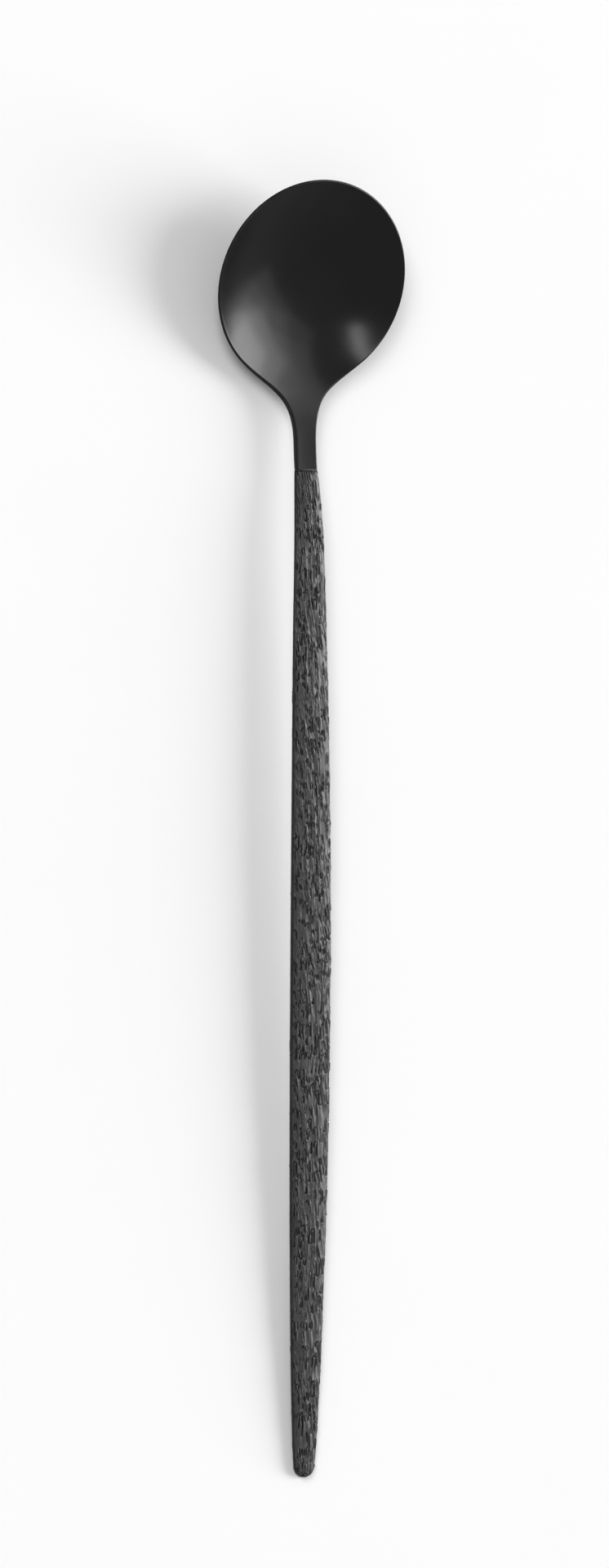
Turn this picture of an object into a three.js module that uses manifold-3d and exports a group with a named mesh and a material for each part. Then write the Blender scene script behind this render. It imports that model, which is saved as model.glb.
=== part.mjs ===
// Long-handled spoon: a round black bowl that runs back into a slim neck and a hidden tang,
// and a slender handle bonded over the tang.
// Millimetres, +Z up. X runs across the spoon and +Y points from the handle to the bowl's tip.
// The table is Z = 0, and the origin lies on it under the middle of the spoon's length.

import * as THREE from 'three';
import { mergeVertices } from 'three/addons/utils/BufferGeometryUtils.js';
import Module from 'manifold-3d';

// Bowl
const BOWL_RADIUS = 17;
const BOWL_DEPTH = 6.8; // from the rim plane to the middle of the floor's sheet
const RIM_SLOPE = 0.3; // climb of the rim plane for each millimetre toward the tip
const FLOOR_THICKNESS = 1.3;
const RIM_THICKNESS = 0.5;
const EDGE_ROUNDING = 0.5; // outward reach of the rounded edge, as a share of half its thickness
const EDGE_FULLNESS = 0.7; // power of the rounded edge's section; lower is squarer
const FAN_SHARE = 0.35; // how far the foot of a ring follows its ends past the bowl's centre

// Shoulder and neck
const SHOULDER_ANGLE = 39; // degrees from the centre line, where the outline leaves the bowl's circle
const SHOULDER_RUN = 6.9; // pull of the shoulder curve along the circle's tangent
const SHOULDER_SWEEP = 8.35; // pull of the shoulder curve along the neck's side
const NECK_LENGTH = 13.7; // from the back of the bowl's circle to the joint
const NECK_STRAIGHT = 4.2; // stretch of parallel sides next to the joint
const NECK_WIDTH = 3.83;
const NECK_THICKNESS = 1.3;
const NECK_TAPER = 16.8; // run from the straight stretch over which the neck thins to floor and rim

// Handle
const HANDLE_LENGTH = 167.3;
const HANDLE_WIDTH = 7.1;
const HANDLE_THICKNESS = 3;
const HANDLE_PROUD = 0.05; // the handle stands proud of the neck by this on every side
const HANDLE_SWELL = 0.57; // power of the sine that swells the width; lower is fuller
const HANDLE_SQUARENESS = 2.6; // power of the superellipse section
const TAIL_WIDTH = 3;
const TAIL_THICKNESS = 2;
const TAIL_ROUND = 1.6; // length of the rounded end
const TAIL_FULLNESS = 0.6; // power of the cosine that closes the end in side view; lower is blunter

// Side view, as heights of the middle of the section
const JOINT_HEIGHT = 5.2;
const JOINT_SLOPE = -0.137;
const CREST_HEIGHT = 6.1;
const CREST_DISTANCE = 30.8; // from the joint back to the top of the handle's arch
const TAIL_SLOPE = 0.0615;
const REST_CUT = 0.15; // depth of the two flats that the spoon rests on

// Hidden joint
const TANG_LENGTH = 45;
const TANG_ROOT = 1; // overlap of the tang into the neck
const TANG_SQUARENESS = 5;
const SOCKET_SIDE_WALL = 0.57;
const SOCKET_TOP_WALL = 0.28;
const BOND_GAP = 0.15; // between the tang and the socket
const BOND_SEAT = 0.03; // clearance of the cured bond from either wall
const KEY_RADIUS = 0.35; // half-round notches that key the tang in the bond
const KEY_COUNT = 3; // on each edge of the tang
const KEY_START = 9; // from the joint to the first notch
const KEY_SPACING = 13;

// Facets
const OUTLINE_STEPS = 48;
const SHEET_STEPS = 9;
const EDGE_STEPS = 4;
const HANDLE_STEPS = 48;
const HANDLE_CROWDING = 1.15; // above 1, rings crowd toward the joint
const TAIL_STEPS = 7;
const HANDLE_SIDES = 32;
const TANG_STEPS = 15;
const TANG_SIDES = 20;
const KEY_SIDES = 12;
const WELD = 1e-4;

// Stations along Y
const spoonLength = HANDLE_LENGTH + NECK_LENGTH + 2 * BOWL_RADIUS;
const tipY = spoonLength / 2;
const tailY = -spoonLength / 2;
const bowlY = tipY - BOWL_RADIUS;
const bowlBackY = bowlY - BOWL_RADIUS;
const jointY = tailY + HANDLE_LENGTH;
const crestY = jointY - CREST_DISTANCE;
const tangEndY = jointY - TANG_LENGTH;

// Sections at the joint
const handleEndWidth = NECK_WIDTH + 2 * HANDLE_PROUD;
const handleEndThickness = NECK_THICKNESS + 2 * HANDLE_PROUD;
const tangWidth = handleEndWidth - 2 * (SOCKET_SIDE_WALL + BOND_GAP);
const tangThickness = handleEndThickness - 2 * (SOCKET_TOP_WALL + BOND_GAP);

// Heights
const dish = BOWL_DEPTH / BOWL_RADIUS ** 2; // the bowl's sheet is a paraboloid
const floorHeight = FLOOR_THICKNESS / 2 - REST_CUT;
const rimHeight = floorHeight + BOWL_DEPTH + RIM_SLOPE ** 2 / (4 * dish);
const tailHeight = TAIL_THICKNESS / 2 - REST_CUT - TAIL_SLOPE * TAIL_ROUND;

// Height and slope at y of the cubic that joins two stations { y, z, slope }.
function cubicBetween(from, to, y) {
  const run = to.y - from.y;
  const third = run / 3;
  const curve = new THREE.CubicBezierCurve(
    new THREE.Vector2(from.y, from.z),
    new THREE.Vector2(from.y + third, from.z + from.slope * third),
    new THREE.Vector2(to.y - third, to.z - to.slope * third),
    new THREE.Vector2(to.y, to.z)
  );
  const t = (y - from.y) / run;
  const tangent = curve.getTangent(t);
  return { z: curve.getPoint(t).y, slope: tangent.y / tangent.x };
}

const tailStation = { y: tailY, z: tailHeight, slope: TAIL_SLOPE };
const crestStation = { y: crestY, z: CREST_HEIGHT, slope: 0 };
const jointStation = { y: jointY, z: JOINT_HEIGHT, slope: JOINT_SLOPE };
const bowlBackStation = {
  y: bowlBackY,
  z: rimHeight - RIM_SLOPE * BOWL_RADIUS,
  slope: RIM_SLOPE - 2 * dish * BOWL_RADIUS,
};

// The spoon's centre line in side view, from the tail over the arch and down into the bowl.
function centreLine(y) {
  if (y < crestY) return cubicBetween(tailStation, crestStation, y);
  if (y < jointY) return cubicBetween(crestStation, jointStation, y);
  if (y < bowlBackY) return cubicBetween(jointStation, bowlBackStation, y);
  const along = y - bowlY;
  return {
    z: rimHeight - BOWL_DEPTH + RIM_SLOPE * along + dish * along ** 2,
    slope: RIM_SLOPE + 2 * dish * along,
  };
}

// Closed solid through rings of points with equal counts, each ring counter-clockwise seen from the
// start. A cap point closes that end with a fan; without one the ring folds shut on itself.
function loft(rings, startCap, endCap) {
  const count = rings[0].length;
  const points = rings.flat();
  const index = [];
  for (let row = 0; row + 1 < rings.length; row += 1) {
    for (let i = 0; i < count; i += 1) {
      const next = (i + 1) % count;
      const a = row * count + i;
      const b = row * count + next;
      index.push(a, b, b + count, a, b + count, a + count);
    }
  }
  const fan = (cap, first, flip) => {
    if (!cap) return;
    const centre = points.push(cap) - 1;
    for (let i = 0; i < count; i += 1) {
      const a = first + i;
      const b = first + ((i + 1) % count);
      index.push(centre, flip ? b : a, flip ? a : b);
    }
  };
  fan(startCap, 0, true);
  fan(endCap, (rings.length - 1) * count, false);
  const geometry = new THREE.BufferGeometry().setFromPoints(points);
  geometry.setIndex(index);
  return geometry;
}

// Superellipse ring across the spoon at y, counter-clockwise seen from the +Y end.
function section(y, z, width, thickness, power, sides) {
  const soft = (value) => Math.sign(value) * Math.abs(value) ** (2 / power);
  return Array.from({ length: sides }, (_, i) => {
    const angle = (-2 * Math.PI * i) / sides;
    const x = (width / 2) * soft(Math.cos(angle));
    return new THREE.Vector3(x, y, z + (thickness / 2) * soft(Math.sin(angle)));
  });
}

const wasm = await Module();
wasm.setup();

function solidOf(geometry) {
  const bare = geometry.clone();
  bare.deleteAttribute('normal');
  bare.deleteAttribute('uv');
  const welded = mergeVertices(bare, WELD);
  const vertProperties = Float32Array.from(welded.attributes.position.array);
  const triVerts = Uint32Array.from(welded.index.array);
  return new wasm.Manifold(new wasm.Mesh({ numProp: 3, vertProperties, triVerts }));
}

function geometryOf(solid) {
  const mesh = solid.getMesh();
  const geometry = new THREE.BufferGeometry();
  geometry.setAttribute('position', new THREE.BufferAttribute(Float32Array.from(mesh.vertProperties), 3));
  geometry.setIndex(new THREE.BufferAttribute(Uint32Array.from(mesh.triVerts), 1));
  geometry.computeVertexNormals();
  return geometry;
}

// Everything under the table plane, to cut the resting flats.
function belowTable() {
  const slab = new THREE.BoxGeometry(spoonLength, 2 * spoonLength, spoonLength);
  slab.translate(0, 0, -spoonLength / 2);
  return solidOf(slab);
}

// Right half of the plan outline: neck side, shoulder curve, then round the bowl to the tip.
function halfOutline() {
  const leave = THREE.MathUtils.degToRad(SHOULDER_ANGLE);
  const side = NECK_WIDTH / 2;
  const straightY = jointY + NECK_STRAIGHT;
  const leaveX = BOWL_RADIUS * Math.sin(leave);
  const leaveY = bowlY - BOWL_RADIUS * Math.cos(leave);
  const path = new THREE.Path();
  path.moveTo(side, jointY);
  path.lineTo(side, straightY);
  path.bezierCurveTo(
    side,
    straightY + SHOULDER_SWEEP,
    leaveX - SHOULDER_RUN * Math.cos(leave),
    leaveY - SHOULDER_RUN * Math.sin(leave),
    leaveX,
    leaveY
  );
  path.absarc(0, bowlY, BOWL_RADIUS, leave - Math.PI / 2, Math.PI / 2, false);
  return path;
}

// Bowl and neck as one bent sheet with a rounded edge all round. The sheet's middle is the centre line
// swept sideways with the dish's parabola, and its thickness tapers from the neck to floor and rim.
// Each ring crosses the sheet from edge to edge and comes back underneath. In front of the bowl's
// centre the rings fan out, so that the last one lies along the centre line and folds shut at the tip.
function bowlAndNeck() {
  const outline = halfOutline();
  const taperY = jointY + NECK_STRAIGHT;
  const rings = [];
  for (let i = 0; i <= OUTLINE_STEPS; i += 1) {
    const at = i / OUTLINE_STEPS;
    const last = i === OUTLINE_STEPS;
    const rim = last ? new THREE.Vector2(0, tipY) : outline.getPointAt(at);
    const run = outline.getTangentAt(at);
    const out = last ? new THREE.Vector2(0, 1) : new THREE.Vector2(run.y, -run.x);
    const taper = THREE.MathUtils.smoothstep(rim.y, taperY, taperY + NECK_TAPER);
    const edge = THREE.MathUtils.lerp(NECK_THICKNESS, RIM_THICKNESS, taper);
    const floor = THREE.MathUtils.lerp(NECK_THICKNESS, FLOOR_THICKNESS, taper);
    const reach = (edge / 2) * EDGE_ROUNDING;
    const inner = rim.clone().addScaledVector(out, -reach);
    const footY = rim.y < bowlY ? inner.y : bowlY + FAN_SHARE * (inner.y - bowlY);

    // Point of the sheet at share f from the foot to the edge, with its upward normal.
    const sheet = (f, hand) => {
      const x = hand * f * inner.x;
      const y = footY + f * (inner.y - footY);
      const line = centreLine(y);
      const lean = THREE.MathUtils.smoothstep(y, jointY, jointY + NECK_STRAIGHT);
      const normal = new THREE.Vector3(-2 * dish * x, -line.slope * lean, 1).normalize();
      const middle = new THREE.Vector3(x, y, line.z + dish * x ** 2);
      return { middle, normal, slope: line.slope, half: (edge + (floor - edge) * (1 - f ** 2)) / 2 };
    };
    const face = (step, up) => {
      const at = sheet(Math.abs(step) / SHEET_STEPS, Math.sign(step));
      return at.middle.addScaledVector(at.normal, up * at.half);
    };
    const lip = (step, hand) => {
      const at = sheet(1, hand);
      const angle = Math.PI * (0.5 - step / EDGE_STEPS);
      const rise = Math.sign(Math.sin(angle)) * Math.abs(Math.sin(angle)) ** EDGE_FULLNESS;
      const bulge = Math.cos(angle) ** EDGE_FULLNESS;
      const climb = 2 * dish * at.middle.x * hand * out.x + at.slope * out.y;
      const outward = new THREE.Vector3(hand * out.x, out.y, climb);
      return at.middle.addScaledVector(at.normal, rise * at.half).addScaledVector(outward, bulge * reach);
    };

    const ring = [];
    for (let step = -SHEET_STEPS; step <= SHEET_STEPS; step += 1) ring.push(face(step, 1));
    for (let step = 1; step < EDGE_STEPS; step += 1) ring.push(lip(step, 1));
    for (let step = SHEET_STEPS; step >= -SHEET_STEPS; step -= 1) ring.push(face(step, -1));
    for (let step = EDGE_STEPS - 1; step > 0; step -= 1) ring.push(lip(step, -1));
    rings.push(ring);
  }
  const endFace = new THREE.Vector3(0, jointY, JOINT_HEIGHT);
  return solidOf(loft(rings, endFace, null));
}

// Bar of the tang's section along the centre line, grown on every side and cut off at both stations.
function tangBar(grow, fromY, toY) {
  const rings = [];
  for (let i = 0; i <= TANG_STEPS; i += 1) {
    const y = THREE.MathUtils.lerp(fromY, toY, i / TANG_STEPS);
    const width = tangWidth + 2 * grow;
    const thickness = tangThickness + 2 * grow;
    rings.push(section(y, centreLine(y).z, width, thickness, TANG_SQUARENESS, TANG_SIDES).reverse());
  }
  const capAt = (y) => new THREE.Vector3(0, y, centreLine(y).z);
  return solidOf(loft(rings, capAt(fromY), capAt(toY)));
}

// The tang with its half-round notches; a grown copy has notches that are smaller by as much.
function tang(grow) {
  let bar = tangBar(grow, jointY + TANG_ROOT, tangEndY - grow);
  for (let i = 0; i < KEY_COUNT; i += 1) {
    const y = jointY - KEY_START - i * KEY_SPACING;
    for (const hand of [-1, 1]) {
      const notch = new THREE.CylinderGeometry(
        KEY_RADIUS - grow,
        KEY_RADIUS - grow,
        2 * NECK_THICKNESS,
        KEY_SIDES
      );
      notch.rotateX(Math.PI / 2);
      notch.translate((hand * tangWidth) / 2, y, centreLine(y).z);
      bar = bar.subtract(solidOf(notch));
    }
  }
  return bar;
}

// Slender spindle, arched in side view and rounded at the tail.
function handleBody() {
  const rings = [];
  const ringAt = (y, shrinkWidth, shrinkThickness) => {
    const share = (jointY - y) / HANDLE_LENGTH;
    const swell = Math.sin(Math.PI * share);
    const endWidth = THREE.MathUtils.lerp(handleEndWidth, TAIL_WIDTH, share);
    const endThickness = THREE.MathUtils.lerp(handleEndThickness, TAIL_THICKNESS, share);
    const width = THREE.MathUtils.lerp(endWidth, HANDLE_WIDTH, swell ** HANDLE_SWELL);
    const thickness = THREE.MathUtils.lerp(endThickness, HANDLE_THICKNESS, swell);
    return section(
      y,
      centreLine(y).z,
      width * shrinkWidth,
      thickness * shrinkThickness,
      HANDLE_SQUARENESS,
      HANDLE_SIDES
    ).reverse();
  };
  const roundY = tailY + TAIL_ROUND;
  for (let i = 0; i < HANDLE_STEPS; i += 1) {
    const share = (i / HANDLE_STEPS) ** HANDLE_CROWDING;
    rings.push(ringAt(THREE.MathUtils.lerp(jointY, roundY, share), 1, 1));
  }
  for (let i = 0; i < TAIL_STEPS; i += 1) {
    const angle = (Math.PI / 2) * (i / TAIL_STEPS);
    const close = Math.cos(angle);
    rings.push(ringAt(roundY - TAIL_ROUND * Math.sin(angle), close, close ** TAIL_FULLNESS));
  }
  const endFace = new THREE.Vector3(0, jointY, JOINT_HEIGHT);
  const tailEnd = new THREE.Vector3(0, tailY, tailHeight);
  return solidOf(loft(rings, endFace, tailEnd));
}

const blank = bowlAndNeck().add(tang(0)).subtract(belowTable());
const socket = tangBar(BOND_GAP, jointY + TANG_ROOT, tangEndY - BOND_GAP);
const handle = handleBody().subtract(socket).subtract(belowTable());
const bondFill = tangBar(BOND_GAP - BOND_SEAT, jointY - BOND_SEAT, tangEndY - BOND_GAP + BOND_SEAT);
const bond = bondFill.subtract(tang(BOND_SEAT));

function piece(name, solid, look) {
  const mesh = new THREE.Mesh(geometryOf(solid), new THREE.MeshStandardMaterial(look));
  mesh.name = name;
  return mesh;
}

const spoon = new THREE.Group();
spoon.add(
  piece('bowl_blank', blank, { color: 0x17171a, roughness: 0.4, metalness: 0.3 }),
  piece('handle', handle, { color: 0x2a2a2d, roughness: 0.5, metalness: 0.3 }),
  piece('tang_bond', bond, { color: 0x4a4640, roughness: 0.8, metalness: 0 })
);

export default spoon;
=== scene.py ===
# %% [markdown]
# # A long-handled black spoon
# The spoon is made of two visible pieces. A forged blank gives the smooth round bowl and the slim neck,
# and ends in a tang. A slender handle with a bark grain is bonded over that tang. The solids of the part
# are loaded first, as a frame that never moves, and every surface below is worked out in the same place.

import bpy
import numpy as np
from mathutils import Matrix, Vector


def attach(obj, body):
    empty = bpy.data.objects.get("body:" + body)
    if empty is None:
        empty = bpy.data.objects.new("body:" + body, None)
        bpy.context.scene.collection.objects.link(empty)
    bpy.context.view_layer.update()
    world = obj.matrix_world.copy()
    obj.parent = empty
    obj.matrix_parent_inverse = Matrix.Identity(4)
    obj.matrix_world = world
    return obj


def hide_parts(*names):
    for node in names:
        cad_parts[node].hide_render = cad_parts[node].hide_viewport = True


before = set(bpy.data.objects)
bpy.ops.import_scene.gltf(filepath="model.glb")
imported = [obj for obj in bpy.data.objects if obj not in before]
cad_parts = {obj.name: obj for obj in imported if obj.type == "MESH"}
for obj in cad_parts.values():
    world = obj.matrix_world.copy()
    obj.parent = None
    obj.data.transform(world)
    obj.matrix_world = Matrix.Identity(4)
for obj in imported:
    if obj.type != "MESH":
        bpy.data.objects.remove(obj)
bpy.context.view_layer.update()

# %% [markdown]
# ## The side view
# Seen from the side, the spoon is one flowing line: it lies on its tail, climbs to an arch behind the
# neck, dips, and runs down into the bowl. A maker bends it over a former; here each stretch is a cubic
# between two stations with a known height and slope, and the bowl is a parabola. Written as a function
# of the distance along the spoon, the same line can carry the bowl, the tang and the handle.

# %% The centre line
MM = 0.001  # sizes are in millimetres, as on a maker's drawing, and become metres in the mesh

BOWL_RADIUS = 17
BOWL_DEPTH = 6.8
RIM_SLOPE = 0.3
FLOOR_THICKNESS = 1.3
REST_CUT = 0.15
TIP_Y, TAIL_Y, JOINT_Y, CREST_Y = 107.5, -107.5, 59.8, 29.0
BOWL_Y = TIP_Y - BOWL_RADIUS
BOWL_BACK_Y = BOWL_Y - BOWL_RADIUS
JOINT_HEIGHT, JOINT_SLOPE = 5.2, -0.137
CREST_HEIGHT = 6.1
TAIL_ROUND, TAIL_THICKNESS, TAIL_SLOPE = 1.6, 2.0, 0.0615
DISH = BOWL_DEPTH / BOWL_RADIUS**2
RIM_HEIGHT = FLOOR_THICKNESS / 2 - REST_CUT + BOWL_DEPTH + RIM_SLOPE**2 / (4 * DISH)
TAIL_HEIGHT = TAIL_THICKNESS / 2 - REST_CUT - TAIL_SLOPE * TAIL_ROUND


def cubic(y, y0, z0, slope0, y1, z1, slope1):
    """Height at y of the cubic between two stations: the heights and slopes of both ends, each weighted by
    its Hermite polynomial of t, the share of the way from y0 to y1."""
    run = y1 - y0
    t = (y - y0) / run
    from_start = (2 * t**3 - 3 * t**2 + 1) * z0 + (t**3 - 2 * t**2 + t) * run * slope0
    from_end = (3 * t**2 - 2 * t**3) * z1 + (t**3 - t**2) * run * slope1
    return from_start + from_end


def drawn_height(y):
    """Height of the drawn centre line at y: cubics from tail to crest, crest to joint and joint to bowl,
    then the bowl's parabola, which is the tilted rim plane less the depth plus dish times distance
    squared."""
    along = y - BOWL_Y
    bowl = RIM_HEIGHT - BOWL_DEPTH + RIM_SLOPE * along + DISH * along**2
    back_height = RIM_HEIGHT - RIM_SLOPE * BOWL_RADIUS
    back_slope = RIM_SLOPE - 2 * DISH * BOWL_RADIUS
    neck = cubic(y, JOINT_Y, JOINT_HEIGHT, JOINT_SLOPE, BOWL_BACK_Y, back_height, back_slope)
    arch = cubic(y, CREST_Y, CREST_HEIGHT, 0, JOINT_Y, JOINT_HEIGHT, JOINT_SLOPE)
    back = cubic(y, TAIL_Y, TAIL_HEIGHT, TAIL_SLOPE, CREST_Y, CREST_HEIGHT, 0)
    return np.select([y < CREST_Y, y < JOINT_Y, y < BOWL_BACK_Y], [back, arch, neck], bowl)


# %% [markdown]
# A gloss coat shows every place where a bend changes suddenly, and the drawn line has one at each
# station. A maker would ease them by hand. Here the height is an average over a few millimetres of the
# line.

# %% Eased centre line
BEND_SHIFTS = (-1.4, -0.7, 0, 0.7, 1.4)
BEND_SHARES = np.array([1, 4, 6, 4, 1]) / 16
SLOPE_STEP = 0.01


def centre_height(y):
    """Mean of the drawn heights at five shifted places, with binomial shares."""
    return sum(share * drawn_height(y + shift) for shift, share in zip(BEND_SHIFTS, BEND_SHARES))


def centre_slope(y):
    """Slope of the centre line at y, as the rise over a hundredth of a millimetre around it."""
    return (centre_height(y + SLOPE_STEP / 2) - centre_height(y - SLOPE_STEP / 2)) / SLOPE_STEP


stations = np.array([TAIL_Y, CREST_Y, JOINT_Y, TIP_Y])
print("heights at tail, crest, joint, tip", centre_height(stations).round(2))

# %% [markdown]
# ## From a grid of points to a closed piece
# Both pieces are loops of points carried along the spoon. Neighbouring loops are joined by quads. Where
# a loop shrinks to one point or folds flat, its points fall together, so points in the same place are
# welded and the quads that lost a corner become triangles. That leaves a closed skin with no seam.

# %% Skin helpers
WELD_DECIMALS = 4  # points that agree to this many decimals of a millimetre are one


def smooth_step(value, low, high):
    """0 below low, 1 above high, and 3t² − 2t³ of the share t between them."""
    t = np.clip((value - low) / (high - low), 0, 1)
    return t * t * (3 - 2 * t)


def unit(vectors):
    """Each vector over its own length."""
    return vectors / np.linalg.norm(vectors, axis=-1, keepdims=True)


def welded_faces(rings):
    """Faces through rings of points, an array of ring × point × 3: quads join each point to its
    neighbours on the ring and on the next ring, and points in one place become one. Gives the quads, the
    triangles and the number of the first point in each place."""
    rows, columns = rings.shape[:2]
    here = np.arange(rows * columns).reshape(rows, columns)
    beside = np.roll(here, -1, axis=1)
    quads = np.stack([here[:-1], beside[:-1], beside[1:], here[1:]], axis=-1).reshape(-1, 4)
    places = np.round(rings.reshape(-1, 3), WELD_DECIMALS)
    _, first, welded = np.unique(places, axis=0, return_index=True, return_inverse=True)
    quads = welded.reshape(-1)[quads]
    lost = quads == np.roll(quads, -1, axis=1)
    three = lost.sum(axis=1) == 1
    return quads[~lost.any(axis=1)], quads[three][~lost[three]].reshape(-1, 3), first


def closed_skin(name, rings, **point_values):
    """Mesh object through rings of points in millimetres, with its point values. The faces turn outwards:
    the volume is a sixth of the sum of corner · (corner × corner) over all triangles, and where it is
    negative the faces are reversed."""
    quads, triangles, first = welded_faces(rings)
    points = rings.reshape(-1, 3)[first]
    corners = points[np.concatenate([quads[:, :3], quads[:, [0, 2, 3]], triangles])]
    volume = np.einsum("ij,ij->i", corners[:, 0], np.cross(corners[:, 1], corners[:, 2])).sum() / 6
    order = slice(None, None, 1 if volume > 0 else -1)
    mesh = bpy.data.meshes.new(name)
    mesh.from_pydata((points * MM).tolist(), [], quads[:, order].tolist() + triangles[:, order].tolist())
    mesh.shade_smooth()
    for key, values in point_values.items():
        layer = mesh.attributes.new(key, "FLOAT", "POINT")
        layer.data.foreach_set("value", values.reshape(-1)[first].astype(np.float32))
    piece = bpy.data.objects.new(name, mesh)
    bpy.context.scene.collection.objects.link(piece)
    count = 2 * len(quads) + len(triangles)
    print(f"{name}: {len(points)} points, {count} triangles, {abs(volume):.0f} mm3")
    return piece


# %% [markdown]
# ## The blank: bowl, neck and tang
# On the real spoon this is one strip of steel, forged thin toward the rim and pressed into a dish.
# Modelling it from a flattened ball would lose the even thickness. Here the plan outline comes first, a
# straight neck side, a shoulder curve and most of a circle. Loops then cross the sheet from edge to edge
# and come back underneath, and the last loop folds shut at the tip.

# %% Plan outline
NECK_WIDTH, NECK_THICKNESS = 3.83, 1.3
NECK_STRAIGHT = 4.2
SHOULDER_ANGLE = np.radians(39)
SHOULDER_RUN, SHOULDER_SWEEP = 6.9, 8.35
CURVE_STEPS, OUTLINE_STEPS = 600, 230


def half_outline(count):
    """Right half of the outline from the joint to the tip, at equal steps of length, with outward
    directions. It is the neck's side, a Bezier curve with two pulls, and an arc of the bowl's circle."""
    side, straight_y = NECK_WIDTH / 2, JOINT_Y + NECK_STRAIGHT
    leave = np.array([np.sin(SHOULDER_ANGLE), -np.cos(SHOULDER_ANGLE)]) * BOWL_RADIUS + [0, BOWL_Y]
    tangent = np.array([np.cos(SHOULDER_ANGLE), np.sin(SHOULDER_ANGLE)])
    t = np.linspace(0, 1, CURVE_STEPS)[:, None]
    line = np.array([side, JOINT_Y]) + t * [0, NECK_STRAIGHT]
    pulls = [(side, straight_y), (side, straight_y + SHOULDER_SWEEP), leave - SHOULDER_RUN * tangent, leave]
    weights = [(1 - t) ** 3, 3 * (1 - t) ** 2 * t, 3 * (1 - t) * t**2, t**3]
    shoulder = sum(weight * np.array(pull) for weight, pull in zip(weights, pulls))
    angle = SHOULDER_ANGLE + t * (np.pi - SHOULDER_ANGLE)
    arc = np.concatenate([np.sin(angle), -np.cos(angle)], axis=1) * BOWL_RADIUS + [0, BOWL_Y]
    fine = np.concatenate([line, shoulder[1:], arc[1:]])
    length = np.concatenate([[0], np.cumsum(np.linalg.norm(np.diff(fine, axis=0), axis=1))])
    steps = np.linspace(0, length[-1], count)
    rim = np.stack([np.interp(steps, length, fine[:, axis]) for axis in (0, 1)], axis=1)
    change = [np.gradient(fine[:, axis], length) for axis in (0, 1)]
    run = unit(np.stack([np.interp(steps, length, part) for part in change], axis=1))
    rim[-1], run[-1] = (0, TIP_Y), (-1, 0)
    return rim, np.stack([run[:, 1], -run[:, 0]], axis=1)


rim, outward = half_outline(OUTLINE_STEPS)
print("outline from", rim[0], "to", rim[-1], "widest", rim[:, 0].max().round(2))

# %% [markdown]
# The sheet's middle is the centre line swept sideways with the same parabola, so the dish is a
# paraboloid. Half the thickness goes up and half goes down, square to the sheet. The edge between the
# two faces is a rounded lip, a little squarer than a half circle, because a coated edge is eased and not
# knife sharp.

# %% Sheet faces and lip
NECK_TAPER = 16.8
RIM_THICKNESS = 0.5
EDGE_ROUNDING, EDGE_FULLNESS, FAN_SHARE = 0.5, 0.7, 0.35
ACROSS_STEPS, LIP_STEPS = 61, 12


def sheet_middle(x, y):
    """Middle of the sheet over (x, y), its upward normal and the centre line's slope: the centre line plus
    dish times x squared. The normal leans with the slope from the straight neck on, so that the neck's end
    is cut square."""
    slope = centre_slope(y)
    lean = smooth_step(y, JOINT_Y, JOINT_Y + NECK_STRAIGHT)
    middle = np.stack([x, y, centre_height(y) + DISH * x**2], axis=-1)
    return middle, unit(np.stack([-2 * DISH * x, -slope * lean, np.ones_like(x)], axis=-1)), slope


def blank_loops():
    """Loops of the bowl and neck. A face point is the middle plus or minus half the thickness along the
    normal. Past the bowl's middle the loops fan out, so that the last one folds shut at the tip."""
    taper = smooth_step(rim[:, 1], JOINT_Y + NECK_STRAIGHT, JOINT_Y + NECK_STRAIGHT + NECK_TAPER)
    edge = NECK_THICKNESS + (RIM_THICKNESS - NECK_THICKNESS) * taper
    floor = NECK_THICKNESS + (FLOOR_THICKNESS - NECK_THICKNESS) * taper
    reach = edge / 2 * EDGE_ROUNDING
    inner = rim - outward * reach[:, None]
    foot = np.where(rim[:, 1] < BOWL_Y, inner[:, 1], BOWL_Y + FAN_SHARE * (inner[:, 1] - BOWL_Y))
    f = np.linspace(-1, 1, ACROSS_STEPS)
    across_y = foot[:, None] + np.abs(f) * (inner[:, 1] - foot)[:, None]
    middle, normal, _ = sheet_middle(f * inner[:, :1], across_y)
    half = (edge[:, None] + (floor - edge)[:, None] * (1 - f**2)) / 2
    top, bottom = middle + normal * half[..., None], middle - normal * half[..., None]
    angle = np.pi * (0.5 - np.arange(1, LIP_STEPS) / LIP_STEPS)
    rise = np.sign(np.sin(angle)) * np.abs(np.sin(angle)) ** EDGE_FULLNESS
    bulge = np.cos(angle) ** EDGE_FULLNESS

    def lip(hand):
        """Lip points on the right, hand 1, or the left, hand −1: powers of the sine and cosine of an
        angle that turns from the top to the bottom, along the normal and outward along the sheet."""
        at, up, slope = sheet_middle(hand * inner[:, 0], inner[:, 1])
        climb = 2 * DISH * at[:, 0] * hand * outward[:, 0] + slope * outward[:, 1]
        out = np.stack([hand * outward[:, 0], outward[:, 1], climb], axis=-1)
        upward = (edge / 2)[:, None, None] * rise[:, None] * up[:, None]
        sideways = reach[:, None, None] * bulge[:, None] * out[:, None]
        return at[:, None] + upward + sideways

    loops = np.concatenate([top, lip(1), bottom[:, ::-1], lip(-1)[:, ::-1]], axis=1)
    crown = np.concatenate([np.zeros(ACROSS_STEPS), bulge, np.zeros(ACROSS_STEPS), bulge[::-1]])
    return loops, np.broadcast_to(crown, loops.shape[:2])


bowl_loops, bowl_crown = blank_loops()
print("bowl loops", bowl_loops.shape, "lowest", bowl_loops[..., 2].min().round(3))

# %% [markdown]
# Behind the neck the blank carries on as a flat tang with three half-round notches on each edge, which
# key it in the bond. It is hidden, but it is part of the same forging, so it belongs to the same skin:
# each loop of the tang has as many points as the neck's, at the same angles round the centre line.

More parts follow.
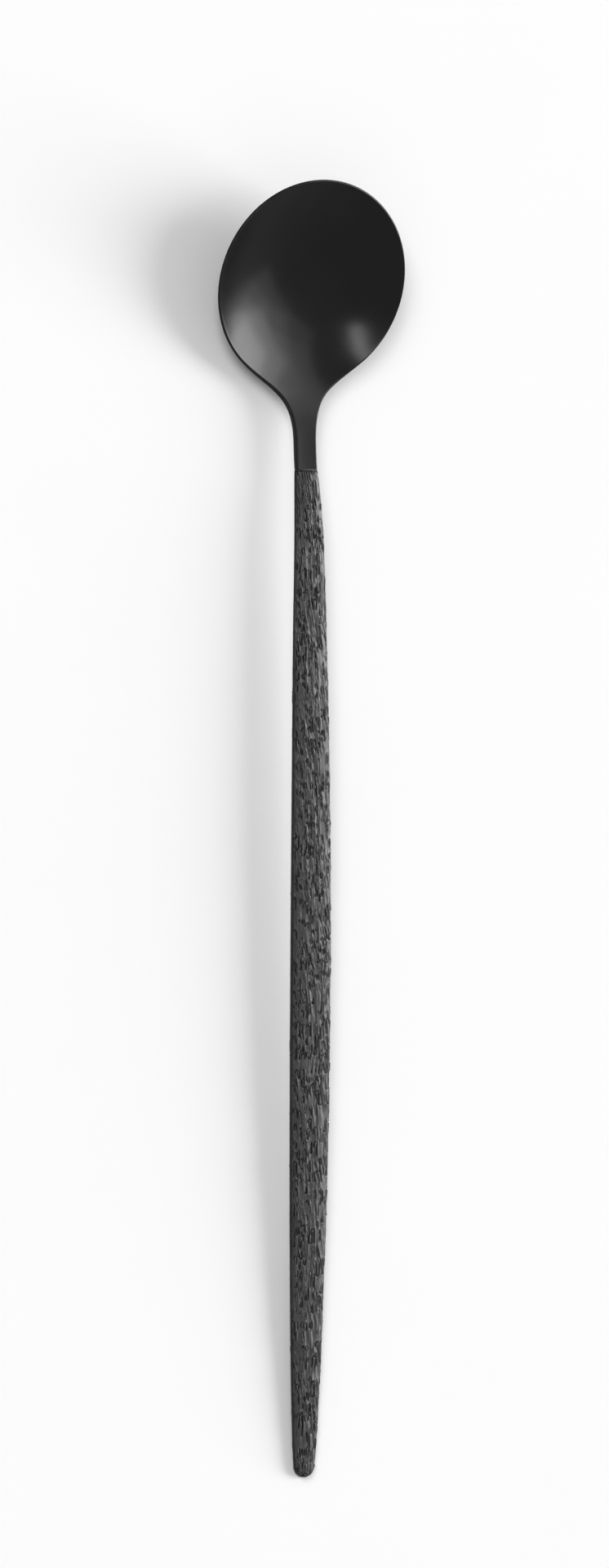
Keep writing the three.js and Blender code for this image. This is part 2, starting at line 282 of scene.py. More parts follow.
# %% Tang loops
TANG_LENGTH = 45
TANG_END_Y = JOINT_Y - TANG_LENGTH
TANG_WIDTH, TANG_THICKNESS, TANG_SQUARENESS = 2.49, 0.54, 5
TANG_ROWS, NOTCH_ROWS = 40, 13
KEY_RADIUS, FIRST_KEY, KEY_SPACING, KEY_COUNT = 0.35, 9, 13, 3
KEY_STATIONS = JOINT_Y - FIRST_KEY - KEY_SPACING * np.arange(KEY_COUNT)


def bar_loops(y, width, thickness, turn):
    """Loops of a bar along the centre line: at each angle, the radius of the superellipse with these half
    sizes, which is the sum of both scaled powers to the power of minus one over the squareness."""
    wide = np.abs(np.cos(turn) / (width / 2)) ** TANG_SQUARENESS
    thick = np.abs(np.sin(turn) / (thickness / 2)) ** TANG_SQUARENESS
    radius = (wide + thick) ** (-1 / TANG_SQUARENESS)
    x = np.broadcast_to(radius * np.cos(turn), (len(y), len(turn)))
    z = centre_height(y)[:, None] + radius * np.sin(turn)
    return np.stack([x, np.broadcast_to(y[:, None], x.shape), z], axis=-1)


neck_end = bowl_loops[0]
neck_turn = np.arctan2(neck_end[:, 2] - JOINT_HEIGHT, neck_end[:, 0])
notch_rows = (KEY_STATIONS[:, None] + KEY_RADIUS * np.linspace(-1, 1, NOTCH_ROWS)).reshape(-1)
tang_y = np.unique(np.concatenate([np.linspace(TANG_END_Y, JOINT_Y, TANG_ROWS), notch_rows]).round(4))
tang_loops = bar_loops(tang_y, TANG_WIDTH, TANG_THICKNESS, neck_turn)
from_notch = np.abs(tang_y[:, None] - KEY_STATIONS).min(axis=1)
tang_side = TANG_WIDTH / 2 - np.sqrt(np.clip(KEY_RADIUS**2 - from_notch**2, 0, None))
tang_loops[..., 0] = np.clip(tang_loops[..., 0], -tang_side[:, None], tang_side[:, None])
tang_end = np.broadcast_to([0, TANG_END_Y, centre_height(TANG_END_Y)], (1, *tang_loops.shape[1:]))
print("tang loops", tang_loops.shape, "narrowest", (2 * tang_side.min()).round(2))

# %% [markdown]
# The tang's end, the tang and the bowl are one stack of loops, so the blank becomes one closed skin, as
# it is one forging. It is shaded smooth, and only edges that turn sharply, such as the step at the
# joint, stay crisp. It takes the place of its plain solid.

# %% Blank piece
BLANK_CREASE = np.radians(50)
blank_rings = np.concatenate([tang_end, tang_loops, bowl_loops])
blank_rings[..., 2] = np.maximum(blank_rings[..., 2], 0)  # the small flat that the bowl rests on
rim_crown = np.concatenate([np.zeros((1 + len(tang_loops), bowl_crown.shape[1])), bowl_crown])
blank = closed_skin("spoon_blank", blank_rings, rim_crown=rim_crown)
blank.data.set_sharp_from_angle(angle=BLANK_CREASE)
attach(blank, "root")
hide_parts("bowl_blank")

# %% [markdown]
# ## The handle
# The handle is a slender spindle, widest at its middle and rounded at the tail. Its section is a soft
# rectangle. The columns of points are spread by arc length, closer on the face that is looked at,
# because the grain that comes next needs its points there.

# %% Section of the spindle
HANDLE_WIDTH, HANDLE_THICKNESS, HANDLE_SQUARENESS = 7.1, 3.0, 2.6
FACE_COLUMNS, SECTION_STEPS = 128, 20001
SIDE_WEIGHT, FACE_WEIGHT, UNDER_WEIGHT = 0.18, 0.82, 0.3
SIDE_EDGE = (0.2, 0.6)  # heights between which the side's weight gives way to the face's


def soft_power(value):
    """The value to the power of 2 over the squareness, with its sign kept."""
    return np.sign(value) * np.abs(value) ** (2 / HANDLE_SQUARENESS)


def column_angles(count):
    """Angles round the section, evenly spaced by weighted arc length. The weight is 1 on the upper face,
    about half underneath and least on the smooth sides."""
    fine = np.linspace(0, 2 * np.pi, SECTION_STEPS)
    x = HANDLE_WIDTH / 2 * soft_power(np.cos(fine))
    z = HANDLE_THICKNESS / 2 * soft_power(np.sin(fine))
    above, below = smooth_step(z[1:], *SIDE_EDGE), smooth_step(-z[1:], *SIDE_EDGE)
    weight = SIDE_WEIGHT + FACE_WEIGHT * above + UNDER_WEIGHT * below
    length = np.concatenate([[0], np.cumsum(np.hypot(np.diff(x), np.diff(z)) * weight)])
    return np.interp(np.arange(count) / count * length[-1], length, fine)


turn = column_angles(FACE_COLUMNS)
print(len(turn), "columns,", (np.sin(turn) > 0).sum(), "of them on the upper half")

# %% [markdown]
# The section is carried along the centre line while its width and thickness swell and shrink. Rows stand
# closer together at the joint, where fine trim comes, and at the tail, which closes like a fingertip.

# %% Spindle
HANDLE_PROUD = 0.05  # how far the handle stands out round the neck
HANDLE_SWELL = 0.57
TAIL_WIDTH, TAIL_FULLNESS = 3.0, 0.6
FRONT_RUN = 1.1
FRONT_ROWS, ALONG_ROWS, TAIL_ROWS = 18, 704, 22


def spindle(y, close, turn):
    """Loops of the smooth handle. Width and thickness run from end to end plus a swell of the sine of the
    share of the length, close narrows the rounded tail, and the section is a superellipse."""
    share = np.clip((JOINT_Y - y) / (JOINT_Y - TAIL_Y), 0, 1)
    swell = np.sin(np.pi * share)
    end_width = NECK_WIDTH + 2 * HANDLE_PROUD + (TAIL_WIDTH - NECK_WIDTH - 2 * HANDLE_PROUD) * share
    end_thickness = NECK_THICKNESS + 2 * HANDLE_PROUD
    end_thickness = end_thickness + (TAIL_THICKNESS - end_thickness) * share
    width = (end_width + (HANDLE_WIDTH - end_width) * swell**HANDLE_SWELL) * close
    thickness = (end_thickness + (HANDLE_THICKNESS - end_thickness) * swell) * close**TAIL_FULLNESS
    x = soft_power(np.cos(turn)) * width[:, None] / 2
    z = soft_power(np.sin(turn)) * thickness[:, None] / 2
    return np.stack([x, np.broadcast_to(y[:, None], x.shape), centre_height(y)[:, None] + z], axis=-1)


round_y = TAIL_Y + TAIL_ROUND
close_angle = np.pi / 2 * np.arange(1, TAIL_ROWS) / TAIL_ROWS
front_y = np.linspace(JOINT_Y, JOINT_Y - FRONT_RUN, FRONT_ROWS, endpoint=False)
body_y = np.linspace(JOINT_Y - FRONT_RUN, round_y, ALONG_ROWS)
skin_y = np.concatenate([front_y, body_y, round_y - TAIL_ROUND * np.sin(close_angle)])
skin_close = np.concatenate([np.ones(FRONT_ROWS + ALONG_ROWS), np.cos(close_angle)])
smooth_skin = spindle(skin_y, skin_close, turn)
along = np.gradient(smooth_skin, skin_y, axis=0)
around = np.roll(smooth_skin, -1, axis=1) - np.roll(smooth_skin, 1, axis=1)
skin_normal = unit(np.cross(along, around))
skin_normal *= np.sign((skin_normal[..., 0] * smooth_skin[..., 0]).sum())  # outwards
print("spindle", smooth_skin.shape, "row step", abs(body_y[1] - body_y[0]).round(3), "mm")

# %% [markdown]
# ## The bark grain
# The upper and lower faces are grained like pine bark: soft ribs along the handle, cut by thin broken
# grooves. Many grooves hook over at one end and outline a finger of bark that stands a little proud. A
# bump map alone would leave the outline straight, so the grain is carved into the surface, and the
# handle's sides stay smooth. The grooves are scattered by a fixed mixing of whole numbers, so the grain
# is the same every time.

# %% Scatter and noise
LOW_32_BITS, LOW_24_BITS = 0xFFFFFFFF, 0xFFFFFF
ACROSS_PRIME, ALONG_PRIME, LAYER_STEP = 374761393, 668265263, 1442695041
FIRST_MIX, SECOND_MIX = 1274126177, 2246822519


def scatter(i, j, layer):
    """A fixed random share from 0 to 1 for whole numbers i and j: their products with large primes are
    mixed by shifts and exclusive or, and the low bits are kept."""
    mixed = i.astype(np.int64) * ACROSS_PRIME + j.astype(np.int64) * ALONG_PRIME + layer * LAYER_STEP
    mixed = mixed & LOW_32_BITS
    mixed = ((mixed ^ (mixed >> 13)) * FIRST_MIX) & LOW_32_BITS
    mixed = ((mixed ^ (mixed >> 16)) * SECOND_MIX) & LOW_32_BITS
    return ((mixed ^ (mixed >> 15)) & LOW_24_BITS) / (LOW_24_BITS + 1)


def soft_noise(u, v, layer):
    """Smooth noise from −1 to 1: the scatter values of the four lattice corners around (u, v), blended by
    3t² − 2t³ of the shares along both axes."""
    i, j = np.floor(u), np.floor(v)
    fu, fv = smooth_step(u - i, 0, 1), smooth_step(v - j, 0, 1)
    low = scatter(i, j, layer) * (1 - fu) + scatter(i + 1, j, layer) * fu
    high = scatter(i, j + 1, layer) * (1 - fu) + scatter(i + 1, j + 1, layer) * fu
    return 2 * (low * (1 - fv) + high * fv) - 1


ten = np.arange(10)
print("mean of a hundred scatter values", scatter(ten[:, None], ten, 1).mean().round(3))

# %% [markdown]
# One groove is drawn as a hook: a half circle over two legs of unequal length, the long leg on the
# right. The lattice places one hook in each cell, with its own size, lean and strength, and some are
# turned upside down.

# %% Hooked grooves
GROOVE_HALF_WIDTH, FINGER_HEIGHT, LIP_HEIGHT = 0.10, 0.10, 0.09
LEAST_RADIUS, RADIUS_RANGE = 0.17, 0.21  # shares of the cell's width
UPSIDE_DOWN, HOOK_LEAN = 0.3, 0.24


def cell_hook(s, y, i, j, width, length, layer):
    """Groove share and raised height of the hook in cell (i, j) of a lattice of this width and length. The
    gap to it is |distance from the circle's middle − radius| above, and the way to the nearer leg below.
    The groove is exp(−(gap / half width)²), faded toward the ends of the legs, with a raised lip two
    half widths away. The finger between the legs is one minus the cube of the share of the radius."""
    size, way, middle, lean, side, right, left, strength = [scatter(i, j, layer + k) for k in range(8)]
    radius = width * (LEAST_RADIUS + RADIUS_RANGE * size)
    rise = (y - (j + 0.15 + 0.7 * middle) * length) * np.where(way < UPSIDE_DOWN, -1, 1)
    x = -(s - (i + 0.2 + 0.6 * side) * width) - HOOK_LEAN * (lean - 0.5) * rise
    leg = length * np.where(x > 0, 0.4 + 0.6 * right, 0.7 * left**2)
    beside = np.hypot(np.abs(x) - radius, np.maximum(-rise - leg, 0))
    gap = np.where(rise > 0, np.abs(np.hypot(x, rise) - radius), beside)
    fade = 1 - smooth_step(-rise, 0.7 * leg, leg + 0.1)
    cut = (0.5 + 0.5 * smooth_step(strength, 0.1, 0.5)) * fade
    groove = cut * np.exp(-((gap / GROOVE_HALF_WIDTH) ** 2))
    inside = 1 - np.clip(np.hypot(x, np.maximum(rise, 0)) / radius, 0, 1) ** 3
    finger = FINGER_HEIGHT * inside * (1 - smooth_step(-rise, 0, leg + 0.2))
    lip = LIP_HEIGHT * cut * np.exp(-((gap / GROOVE_HALF_WIDTH - 2) ** 2))
    return groove, finger + lip


def hooked_grooves(s, y, width, length, layer):
    """The greatest groove share and raised height among the hooks of a point's own cell and its eight
    neighbours."""
    i0, j0 = np.floor(s / width), np.floor(y / length)
    groove, raised = np.zeros_like(s), np.zeros_like(s)
    for di, dj in np.stack(np.meshgrid([-1, 0, 1], [-1, 0, 1]), axis=-1).reshape(-1, 2):
        hook_groove, hook_raised = cell_hook(s, y, i0 + di, j0 + dj, width, length, layer)
        groove = np.maximum(groove, hook_groove)
        raised = np.maximum(raised, hook_raised)
    return groove, raised


# %% [markdown]
# The grain is laid out in millimetres: the distance round the section from the middle of the upper or
# lower face, and the distance along the handle. The distance round leans a little with the length and
# both are bent by soft noise, so the grooves sway. Fine hooks gather on the left and coarse ones on the
# right, as in the picture, and some patches stay calm.

# %% Bark pattern
COARSE_CELL, FINE_CELL = (0.84, 2.8), (0.58, 1.75)
GRAIN_LEAN, SHORT_SWAY, LONG_SWAY, END_SWAY = 0.06, 0.06, 0.45, 0.2
GROOVE_DEPTH, RIB_HEIGHT = 0.21, 0.17
GRAIN_LIFT, GRAIN_TOP = 0.02, 0.15
FACES_APART = 60  # keeps the lower face's grain clear of the upper one's on the lattice


def round_distance(skin):
    """Distance round the section from the middle of the point's own face, positive on the left as that
    face is looked at: the lengths between neighbouring points, added up from the middle. Gives also which
    points are on the upper half."""
    upper = skin[..., 2] >= centre_height(skin[..., 1])
    step = np.linalg.norm(np.roll(skin, -1, axis=1) - skin, axis=2)
    length = np.cumsum(step, axis=1) - step
    top, bottom = np.argmax(np.sin(turn)), np.argmin(np.sin(turn))
    return np.where(upper, length - length[:, [top]], length - length[:, [bottom]] + FACES_APART), upper


def bark_pattern(s, y, upper):
    """Groove share and height of the bark at distance s round and y along: coarse and fine hooks, picked by
    noise that favours fine ones on the left, over ribs of soft noise. Each noise is given its wave lengths
    across and along."""
    short = SHORT_SWAY * soft_noise(s / 0.9, y / 1.3, 11)
    s_bent = s - GRAIN_LEAN * y + short + LONG_SWAY * soft_noise(s / 2.5, y / 6, 12)
    y_bent = y + END_SWAY * soft_noise(s / 1.4, y / 2.5, 13)
    coarse, coarse_raised = hooked_grooves(s_bent, y_bent, *COARSE_CELL, 21)
    fine, fine_raised = hooked_grooves(s_bent, y_bent, *FINE_CELL, 41)
    leftward = np.where(upper, s, s - FACES_APART) / 4
    pick = smooth_step(soft_noise(s / 1.8, y / 5, 61) + leftward, -0.1, 0.1)
    calm = 1 - 0.5 * smooth_step(soft_noise(s / 1.1, y / 3, 62), 0.5, 0.75)
    groove = (coarse + (fine - coarse) * pick) * calm
    raised = (coarse_raised + (0.8 * fine_raised - coarse_raised) * pick) * calm
    ribs = 1.2 * soft_noise(s_bent / 0.40, y / 2.8, 71) + 0.5 * soft_noise(s_bent / 0.9, y / 5.5, 72)
    height = RIB_HEIGHT * (ribs / 2 - 0.25) + raised + GRAIN_LIFT - GROOVE_DEPTH * groove
    return groove, np.minimum(height, GRAIN_TOP)


around_face, on_top = round_distance(smooth_skin)
bark_groove, bark_height = bark_pattern(around_face, smooth_skin[..., 1], on_top)
print("bark from", bark_height.min().round(3), "to", bark_height.max().round(3), "mm")

# %% [markdown]
# At the joint the casting ends in a fine raised collar with a seam behind it. The bark fades in across
# that seam, fades out at the smooth sides and is calmer near the joint. The wall over the socket is
# thinnest there, so the depth of the grooves is limited, and the limit eases toward the tail.

# %% Relief of the grain
COLLAR, COLLAR_WIDTH, COLLAR_HEIGHT = 0.16, 0.13, 0.05  # the first is the distance behind the joint
SEAM, SEAM_WIDTH, SEAM_DEPTH = 0.42, 0.11, 0.08
DEPTH_AT_JOINT, DEPTH_SLOPE = 0.07, 0.02
TOP_FADE, UNDER_FADE = (0.22, 0.55), (0.5, 0.8)  # rise of the normal where the bark fades


def ridge(distance, middle, width):
    """A bell across the handle: exp(−((distance − middle) / width)²)."""
    return np.exp(-(((distance - middle) / width) ** 2))


def grain_relief(groove, carved, normal, behind):
    """Height of the grain at each point, with its shares of groove, which gets painted shade, of the lobes'
    tone, outside which the sides and the first millimetres behind the joint get painted shade, and of the
    collar,
    which gets a painted highlight: the bark times the fades of face and front, limited in depth, plus the
    collar's bell less the seam's."""
    face = np.maximum(smooth_step(normal[..., 2], *TOP_FADE), smooth_step(-normal[..., 2], *UNDER_FADE))
    front = smooth_step(behind, COLLAR, SEAM + 0.1)
    collar, seam = ridge(behind, COLLAR, COLLAR_WIDTH), ridge(behind, SEAM, SEAM_WIDTH)
    calmer = 0.6 + 0.4 * smooth_step(behind, 2, 14)
    deepest = DEPTH_AT_JOINT + DEPTH_SLOPE * behind  # less than the wall over the socket
    trim = COLLAR_HEIGHT * collar - SEAM_DEPTH * seam
    height = face * (np.maximum(carved * calmer, -deepest) * front + trim)
    # share of the lobes' tone; the smooth sides and the first millimetres behind the joint get painted
    # shade instead
    unshaded = face * front * (0.2 + 0.8 * smooth_step(behind, 3, 17))
    return height, np.maximum(groove * front, 0.8 * seam) * face, unshaded, collar * face


behind_joint = JOINT_Y - smooth_skin[..., 1]
relief, groove, unshaded_share, collar = grain_relief(bark_groove, bark_height, skin_normal, behind_joint)
grooved = (groove > 0.5).mean()
print("relief from", relief.min().round(3), "to", relief.max().round(3), "mm, grooved", grooved.round(3))

# %% [markdown]
# The relief moves each point of the spindle along its normal. At the joint the skin turns in and lines
# the socket, so the handle is a closed body with a hole for the tang, as the casting is. The shares of
# groove, of the lobes' tone and of the collar stay on its points. There the finish paints shade into the
# grooves, on the sides and behind the joint, and paints a highlight on the collar.

# %% Handle piece
BOND_GAP = 0.15
SOCKET_END_Y = TANG_END_Y - BOND_GAP
SOCKET_ROWS = 16
HANDLE_CREASE = np.radians(60)
grained_skin = smooth_skin + skin_normal * relief[..., None]
grained_skin[..., 2] = np.maximum(grained_skin[..., 2], 0)  # the small flat under the tail
front_turn = np.arctan2(smooth_skin[0, :, 2] - JOINT_HEIGHT, smooth_skin[0, :, 0])
socket_y = np.linspace(SOCKET_END_Y, JOINT_Y, SOCKET_ROWS)
socket = bar_loops(socket_y, TANG_WIDTH + 2 * BOND_GAP, TANG_THICKNESS + 2 * BOND_GAP, front_turn)
socket_end = np.broadcast_to([0, SOCKET_END_Y, centre_height(SOCKET_END_Y)], (1, *socket.shape[1:]))
tail_end = np.broadcast_to([0, TAIL_Y, TAIL_HEIGHT], (1, *socket.shape[1:]))
handle_rings = np.concatenate([socket_end, socket, grained_skin, tail_end])


def inside_and_out(values):
    """Point values of the skin with 0 for the socket in front of them and for the tail's last point."""
    columns = values.shape[1]
    return np.concatenate([np.zeros((1 + len(socket), columns)), values, np.zeros((1, columns))])


skin_values = {"groove": groove, "unshaded_share": unshaded_share, "collar": collar}
point_values = {key: inside_and_out(part) for key, part in skin_values.items()}
handle = closed_skin("bark_handle", handle_rings, **point_values)
handle.data.set_sharp_from_angle(angle=HANDLE_CREASE)
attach(handle, "root")
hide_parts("handle")

# %% [markdown]
# ## Finishes
# Each finish is a Principled surface fed by noise in the piece's own coordinates, so it needs no picture
# and no unwrapping. A few helpers keep the finishes short: one adds any node, and the others are the
# noises, ranges and greys that every finish here is made of.


# %% Node helpers
def add_node(tree, kind, inputs=(), **settings):
    """A node with its settings and inputs; an input given as a socket is linked, and a number is set."""
    node = tree.nodes.new(kind)
    for key, value in settings.items():
        setattr(node, key, value)
    for key, value in dict(inputs).items():
        if isinstance(value, bpy.types.NodeSocket):
            tree.links.new(value, node.inputs[key])
        else:
            node.inputs[key].default_value = value
    return node


def new_finish(name):
    """A material, its node tree, its Principled surface and the coordinates of the piece that it is on."""
    finish = bpy.data.materials.new(name)
    finish.use_nodes = True
    place = add_node(finish.node_tree, "ShaderNodeTexCoord").outputs["Object"]
    return finish, finish.node_tree, finish.node_tree.nodes["Principled BSDF"], place


def noise(tree, place, scale, detail, distortion=0.0):
    """Fractal noise in the piece's own coordinates, with scale in waves per metre."""
    inputs = {"Vector": place, "Scale": scale, "Detail": detail, "Distortion": distortion}
    return add_node(tree, "ShaderNodeTexNoise", inputs).outputs["Fac"]


def spread(tree, value, low, high, from_low=0.3, from_high=0.7):
    """Goes from low to high, each a number or a socket, as the value goes from from_low to from_high. The
    usual range of a noise is the default."""
    inputs = {"Value": value, "From Min": from_low, "From Max": from_high, "To Min": low, "To Max": high}
    return add_node(tree, "ShaderNodeMapRange", inputs).outputs["Result"]


def arithmetic(tree, operation, first, second):
    """Two values put together by one Math node."""
    return add_node(tree, "ShaderNodeMath", {0: first, 1: second}, operation=operation).outputs[0]


def grey(tree, value, tint=(1.0, 1.0, 1.04)):
    """A near-neutral colour from one number, a touch cooler than plain grey."""
    channels = [arithmetic(tree, "MULTIPLY", value, part) for part in tint]
    colours = dict(zip(("Red", "Green", "Blue"), channels))
    return add_node(tree, "ShaderNodeCombineColor", colours).outputs["Color"]


def point_share(tree, name):
    """A value that was kept on the piece's points."""
    return add_node(tree, "ShaderNodeAttribute", attribute_name=name).outputs["Fac"]


# %% [markdown]
# The blank has a smooth satin black coat, so its look is mostly reflection: a dark base, a gloss that is
# wide but clear, and a very fine tooth from the spraying. A painted highlight makes the crown of the rim
# a little lighter. A plain black would look like plastic, so base and gloss drift slowly over the surface.

# %% Satin black coat of the blank
blank_coat, tree, surface, place = new_finish("satin_black_coat")
# painted highlight: the crown of the rim is made a little lighter
rim_highlight_tone = spread(tree, noise(tree, place, 700, 2), 0.0, 0.006)
painted_rim_highlight = arithmetic(tree, "MULTIPLY", point_share(tree, "rim_crown"), rim_highlight_tone)
shade = arithmetic(tree, "ADD", spread(tree, noise(tree, place, 90, 3), 0.0080, 0.0105), painted_rim_highlight)
tree.links.new(grey(tree, shade), surface.inputs["Base Color"])
tree.links.new(spread(tree, noise(tree, place, 260, 4), 0.20, 0.24), surface.inputs["Roughness"])
tooth = noise(tree, place, 9000, 2)
tooth_bump = add_node(tree, "ShaderNodeBump", {"Height": tooth, "Strength": 0.05, "Distance": 0.00002})
tree.links.new(tooth_bump.outputs["Normal"], surface.inputs["Normal"])
surface.inputs["IOR"].default_value = 1.38
blank.data.materials.append(blank_coat)
print(blank_coat.name, len(tree.nodes), "nodes")

# %% [markdown]
# The handle has the same black coat over the grain, but it is drier and catches more light on the lobes.
# The shares on the points paint shade into the grooves, which are also rougher than the tops. They paint
# shade on the sides and the first millimetres behind the joint, nearly as dark as the blank. A painted
# highlight makes the collar a little lighter.

# %% Bark coat of the handle
ALONG_STRETCH = 0.16
GROOVE_PAINTED_SHADE, PAINTED_SHADE, COLLAR_PAINTED_HIGHLIGHT = 0.003, 0.006, 0.022
GROOVE_ROUGHNESS = 0.65
bark_coat, tree, surface, place = new_finish("bark_black_coat")
stretch = {"Vector": place, "Scale": (1, ALONG_STRETCH, 1)}
stretched = add_node(tree, "ShaderNodeMapping", stretch).outputs["Vector"]
groove_share = point_share(tree, "groove")
lobe = spread(tree, noise(tree, stretched, 1500, 3), 0.040, 0.059)
# painted shade: the sides and the first millimetres behind the joint are made nearly as dark as the blank
lobe_and_painted_shade = spread(tree, point_share(tree, "unshaded_share"), PAINTED_SHADE, lobe, 0, 1)
# painted shade: the grooves and the seam are made darker
with_painted_groove_shade = spread(tree, groove_share, lobe_and_painted_shade, GROOVE_PAINTED_SHADE, 0.35, 0.8)
# painted highlight: the collar is made a little lighter
painted_collar_highlight = spread(tree, point_share(tree, "collar"), with_painted_groove_shade, COLLAR_PAINTED_HIGHLIGHT, 0.3, 1)
tree.links.new(grey(tree, painted_collar_highlight), surface.inputs["Base Color"])
lobe_rough = spread(tree, noise(tree, stretched, 900, 3), 0.29, 0.37)
rough = spread(tree, groove_share, lobe_rough, GROOVE_ROUGHNESS, 0, 1)
tree.links.new(rough, surface.inputs["Roughness"])
surface.inputs["IOR"].default_value = 1.52
handle.data.materials.append(bark_coat)
print(bark_coat.name, len(tree.nodes), "nodes")

# %% [markdown]
# Two bumps lie over the carved grain, both too small to carve: a soft mottle of short worms, as bark has
# between its cracks, and fine strands along the handle. They are faint, so the carving stays the main
# form.

# %% Mottle and strands
MOTTLE_STRETCH = 0.42
squeeze = {"Vector": place, "Scale": (1, MOTTLE_STRETCH, 1)}
mottle = add_node(tree, "ShaderNodeMapping", squeeze).outputs["Vector"]
worms = noise(tree, mottle, 2300, 2, distortion=1.4)
worm_bump = add_node(tree, "ShaderNodeBump", {"Height": worms, "Strength": 0.15, "Distance": 0.0001})
strands = noise(tree, stretched, 5200, 4)
strand_bump = add_node(tree, "ShaderNodeBump", {"Height": strands, "Strength": 0.12, "Distance": 0.00006})
tree.links.new(worm_bump.outputs["Normal"], strand_bump.inputs["Normal"])
tree.links.new(strand_bump.outputs["Normal"], surface.inputs["Normal"])
print(bark_coat.name, len(tree.nodes), "nodes with its bumps")

# %% [markdown]
# The cured bond is inside the handle and shows only if the pieces are taken apart. Its solid is kept,
# and it gets the dull, slightly cloudy look of set adhesive.

# %% Cured bond
BOND_TINT = (1.0, 0.93, 0.79)
bond_finish, tree, surface, place = new_finish("cured_bond")
cloudy = spread(tree, noise(tree, place, 1200, 4), 0.05, 0.09)
tree.links.new(grey(tree, cloudy, BOND_TINT), surface.inputs["Base Color"])
tree.links.new(spread(tree, noise(tree, place, 2500, 3), 0.6, 0.8), surface.inputs["Roughness"])
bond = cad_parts["tang_bond"]
bond.data.materials.clear()
bond.data.materials.append(bond_finish)
print(bond_finish.name, len(tree.nodes), "nodes")

# %% [markdown]
# ## Floor, light and camera
# The spoon lies on a plain white sweep. Its colour is nearly white and not quite even, as paper is. It
# takes the shadow, but the gloss doesn't see it, because the black coat in the picture mirrors dark
# surroundings.

# %% White floor
FLOOR_REACH, FLOOR_DROP = 12.0, 0.00002  # in metres; the floor lies a hair below the spoon
FLOOR_ROUGHNESS = 0.9
corners = np.array([(-1, -1, 0), (1, -1, 0), (1, 1, 0), (-1, 1, 0)]) * FLOOR_REACH - [0, 0, FLOOR_DROP]
floor_mesh = bpy.data.meshes.new("floor")
floor_mesh.from_pydata(corners.tolist(), [], [(0, 1, 2, 3)])
floor = bpy.data.objects.new("floor", floor_mesh)
bpy.context.scene.collection.objects.link(floor)
white, tree, surface, place = new_finish("white_sweep")
paper = spread(tree, noise(tree, place, 40, 2), 0.975, 0.98)
tree.links.new(grey(tree, paper, (1, 1, 1)), surface.inputs["Base Color"])
surface.inputs["Roughness"].default_value = FLOOR_ROUGHNESS
surface.inputs["Specular IOR Level"].default_value = 0.0
floor_mesh.materials.append(white)
floor.visible_glossy = False
floor.visible_shadow = False
print("floor", 2 * FLOOR_REACH, "m wide")

# %% [markdown]
# A tall soft lamp on the right sets the long shadow, and a smaller lamp on the left, toward the tip,
# fills it. Six cards placed round the table set what the black coat mirrors: two highlights in the bowl,
# and the sheen on the grain. A photographer moves real cards until the gloss looks right. Here the lamps
# are kept out of the gloss and the cards are seen by the gloss only, so each can stand where the picture
# shows it.

# %% Key lamp and cards
LAMP_DISTANCE, CARD_DISTANCE = 7.0, 2.5  # in metres; far lamps light the floor evenly


def panel(name, azimuth, elevation, roll, half_width, half_height, radiance, gloss_only=True):
    """A flat area lamp that faces the spoon. Azimuth runs from the tip toward the right, roll turns the
    panel about the line to the spoon, and the half sizes are angles too, all in degrees. Its power is π
    times area times radiance."""
    a, e, r = np.radians([azimuth, elevation, roll])
    toward = np.array([np.sin(a) * np.cos(e), np.cos(a) * np.cos(e), np.sin(e)])
    level = np.array([np.cos(a), -np.sin(a), 0])
    upright = np.cross(level, toward)
    wide = -np.cos(r) * level - np.sin(r) * upright
    tall = np.cos(r) * upright - np.sin(r) * level
    away = CARD_DISTANCE if gloss_only else LAMP_DISTANCE
    lamp = bpy.data.lights.new(name, "AREA")
    lamp.shape = "RECTANGLE"
    lamp.size, lamp.size_y = 2 * away * np.tan(np.radians([half_width, half_height]))
    lamp.energy = np.pi * lamp.size * lamp.size_y * radiance
    holder = bpy.data.objects.new(name, lamp)
    facing = Matrix((wide, tall, toward)).transposed().to_4x4()
    holder.matrix_world = Matrix.Translation(toward * away) @ facing
    holder.visible_camera = False
    holder.visible_diffuse, holder.visible_glossy = not gloss_only, gloss_only
    bpy.context.scene.collection.objects.link(holder)


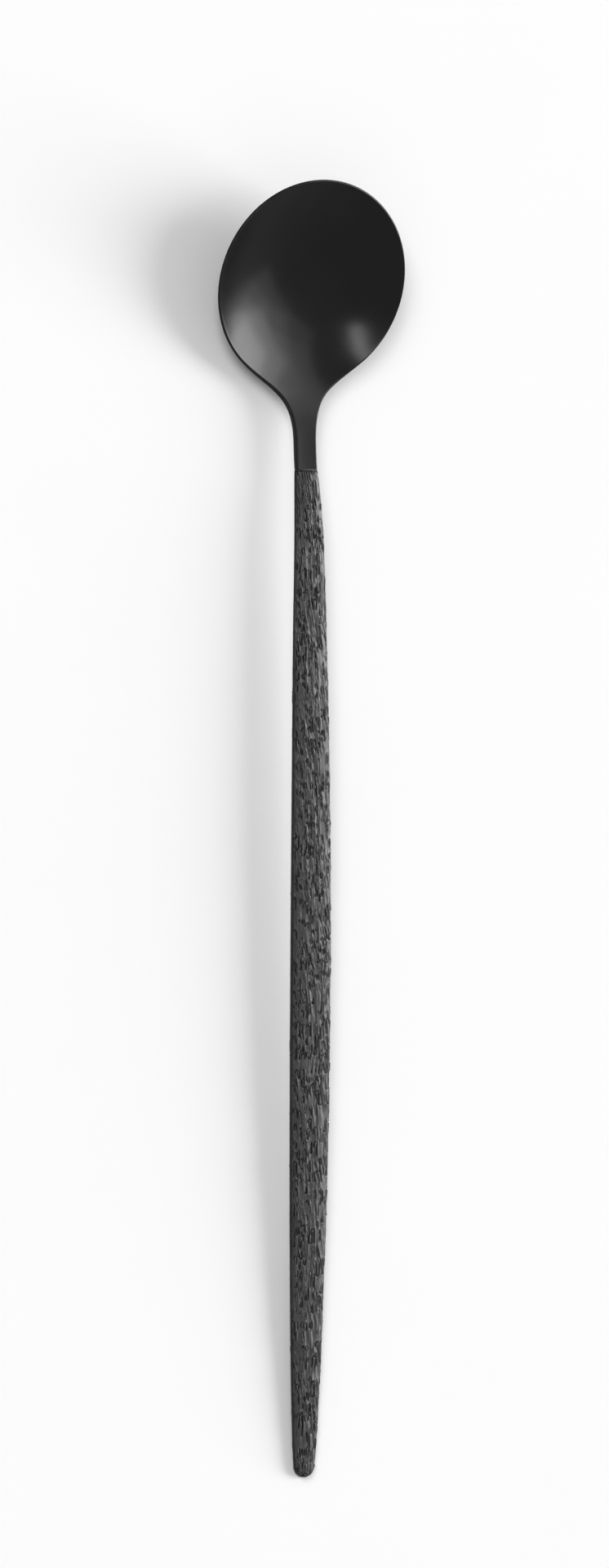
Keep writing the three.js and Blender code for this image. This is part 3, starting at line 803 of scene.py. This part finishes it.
panel("key_lamp", 96.8, 22.2, 32.7, 13.1, 35, 6.35, gloss_only=False)
panel("left_lamp", -52.6, 53.2, 40, 10, 15.3, 7.2, gloss_only=False)
panel("card_core", 72.3, 13.8, -28.5, 14.3, 13.2, 2.9)
panel("card_halo", 69.7, 14.8, -8.6, 23.3, 26.0, 2.05)
panel("card_wide", 58.5, 14.3, 35.9, 47.3, 31.8, 0.91)
panel("card_tall", 65.1, 31.3, 50.4, 18.4, 36.2, 1.16)
panel("card_right", 96.3, 49.8, 34.6, 8.9, 36.1, 0.74)
panel("card_left", -54.3, 62.4, -31.7, 12, 3.6, 7.8)
print("two lamps and six cards")

# %% [markdown]
# A room's walls send some light from every side. An even grey world gives that fill, and the coat
# mirrors it wherever no card stands. The Standard view shows the colours as they were worked out.

# %% Fill
FILL = 0.29
world = bpy.data.worlds.new("studio")
world.use_nodes = True
bpy.context.scene.world = world
world.node_tree.nodes["Background"].inputs["Color"].default_value = (FILL, FILL, FILL, 1)
bpy.context.scene.view_settings.view_transform = "Standard"
print("fill", FILL)

# %% [markdown]
# The camera looks down from the spoon's left, 26 degrees off the vertical, with a long lens. Its turn
# follows the picture: the handle is almost upright in the frame and leans by half a degree.

# %% Camera
TILT = np.radians(26)
LEAN = -0.0095
IMAGE_HEIGHT_PX, PX_PER_MM = 1920, 7.381
LENS, SENSOR_HEIGHT = 600, 36
AIM = Vector((-0.20, 7.58, 4.0)) * MM
camera_data = bpy.data.cameras.new("camera")
camera_data.lens = LENS
camera_data.sensor_fit = "VERTICAL"
camera_data.sensor_height = SENSOR_HEIGHT
camera = bpy.data.objects.new("camera", camera_data)
right = Vector((np.cos(TILT), LEAN, np.sin(TILT))).normalized()
back = Vector((-np.sin(TILT), 0, np.cos(TILT)))
up = back.cross(right).normalized()
view_height = IMAGE_HEIGHT_PX / PX_PER_MM * MM
distance = view_height * LENS / SENSOR_HEIGHT
turned = Matrix((right, up, back)).transposed().to_4x4()
camera.matrix_world = Matrix.Translation(AIM + back * distance) @ turned
bpy.context.scene.collection.objects.link(camera)
bpy.context.scene.camera = camera
print("camera", round(distance, 3), "m away")
